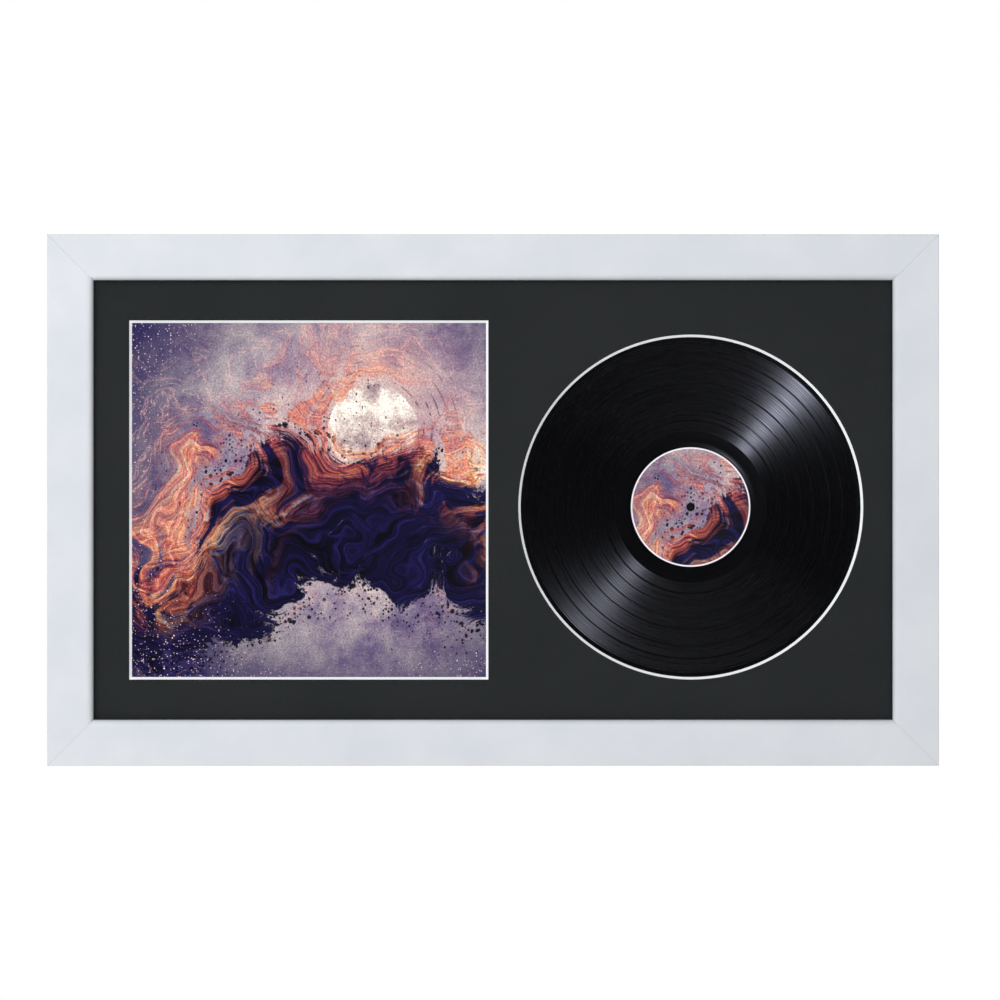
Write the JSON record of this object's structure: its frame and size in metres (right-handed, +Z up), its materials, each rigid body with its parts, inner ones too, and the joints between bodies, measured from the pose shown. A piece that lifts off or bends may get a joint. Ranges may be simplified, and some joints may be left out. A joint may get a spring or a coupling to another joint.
{
  "type": "vinyl record frame",
  "caption": "Wide wall frame that shows a vinyl record and its square sleeve side by side behind one dark mount board, closed at the back by turn buttons.",
  "frame": {"origin": "centre of the frame's outline, on the wall plane that the bumpers' backs touch", "axes": "+Z up, +X to the right as seen from the room, +Y into the wall, so the picture side faces -Y"},
  "size_m": [0.755, 0.025, 0.45],
  "materials": {
    "moulding": "white satin foil on flat mitred moulding",
    "glazing": "clear polished sheet",
    "mount_board": "charcoal faced board with white core at its bevels",
    "carrier_board": "dark grey board with two recesses",
    "album_sleeve": null,
    "record_vinyl": "grooved black vinyl",
    "label_paper": null,
    "filler_board": "kraft board",
    "backing_board": "bare brown hardboard",
    "hardware_zinc": "bright zinc plate",
    "nail_steel": "plain steel strip",
    "bumper_rubber": "soft dark rubber"
  },
  "bodies": {
    "frame_body": {"rail_top": "moulding", "rail_bottom": "moulding", "rail_left": "moulding", "rail_right": "moulding", "v_nail_bottom_left_1": "nail_steel", "v_nail_bottom_left_2": "nail_steel", "v_nail_bottom_right_1": "nail_steel", "v_nail_bottom_right_2": "nail_steel", "v_nail_top_left_1": "nail_steel", "v_nail_top_left_2": "nail_steel", "v_nail_top_right_1": "nail_steel", "v_nail_top_right_2": "nail_steel", "glazing": "glazing", "mount_board": "mount_board", "carrier_board": "carrier_board", "album_sleeve": "album_sleeve", "record": "record_vinyl", "label_front": "label_paper", "label_back": "label_paper", "filler_board": "filler_board", "backing_board": "backing_board", "button_screw_top_1": "hardware_zinc", "button_screw_top_2": "hardware_zinc", "button_screw_top_3": "hardware_zinc", "button_screw_bottom_1": "hardware_zinc", "button_screw_bottom_2": "hardware_zinc", "button_screw_bottom_3": "hardware_zinc", "button_screw_left": "hardware_zinc", "button_screw_right": "hardware_zinc", "hanger_strap_left": "hardware_zinc", "hanger_strap_right": "hardware_zinc", "hanger_screw_left_1": "hardware_zinc", "hanger_screw_left_2": "hardware_zinc", "hanger_screw_right_1": "hardware_zinc", "hanger_screw_right_2": "hardware_zinc", "bumper_left": "bumper_rubber", "bumper_right": "bumper_rubber"},
    "button_top_1": {"turn_button_top_1": "hardware_zinc"},
    "button_top_2": {"turn_button_top_2": "hardware_zinc"},
    "button_top_3": {"turn_button_top_3": "hardware_zinc"},
    "button_bottom_1": {"turn_button_bottom_1": "hardware_zinc"},
    "button_bottom_2": {"turn_button_bottom_2": "hardware_zinc"},
    "button_bottom_3": {"turn_button_bottom_3": "hardware_zinc"},
    "button_left": {"turn_button_left": "hardware_zinc"},
    "button_right": {"turn_button_right": "hardware_zinc"},
    "ring_left": {"d_ring_left": "hardware_zinc"},
    "ring_right": {"d_ring_right": "hardware_zinc"}
  },
  "joints": [
    {"name": "turn_top_1", "type": "hinge", "parent": "frame_body", "child": "button_top_1", "pos_m": [0.23405, -0.0041, 0.2061], "axis": [0, 1, 0], "continuous": true},
    {"name": "turn_top_2", "type": "hinge", "parent": "frame_body", "child": "button_top_2", "pos_m": [0, -0.0041, 0.2061], "axis": [0, 1, 0], "continuous": true},
    {"name": "turn_top_3", "type": "hinge", "parent": "frame_body", "child": "button_top_3", "pos_m": [-0.23405, -0.0041, 0.2061], "axis": [0, 1, 0], "continuous": true},
    {"name": "turn_bottom_1", "type": "hinge", "parent": "frame_body", "child": "button_bottom_1", "pos_m": [-0.23405, -0.0041, -0.2061], "axis": [0, 1, 0], "continuous": true},
    {"name": "turn_bottom_2", "type": "hinge", "parent": "frame_body", "child": "button_bottom_2", "pos_m": [0, -0.0041, -0.2061], "axis": [0, 1, 0], "continuous": true},
    {"name": "turn_bottom_3", "type": "hinge", "parent": "frame_body", "child": "button_bottom_3", "pos_m": [0.23405, -0.0041, -0.2061], "axis": [0, 1, 0], "continuous": true},
    {"name": "turn_left", "type": "hinge", "parent": "frame_body", "child": "button_left", "pos_m": [-0.3586, -0.0041, 0], "axis": [0, 1, 0], "continuous": true},
    {"name": "turn_right", "type": "hinge", "parent": "frame_body", "child": "button_right", "pos_m": [0.3586, -0.0041, 0], "axis": [0, 1, 0], "continuous": true},
    {"name": "swing_left_ring", "type": "hinge", "parent": "frame_body", "child": "ring_left", "pos_m": [-0.3475, -0.0027, 0.075], "axis": [0, 0, 1], "range_deg": [0, 170]},
    {"name": "swing_right_ring", "type": "hinge", "parent": "frame_body", "child": "ring_right", "pos_m": [0.3475, -0.0027, 0.075], "axis": [0, 0, -1], "range_deg": [0, 170]}
  ]
}
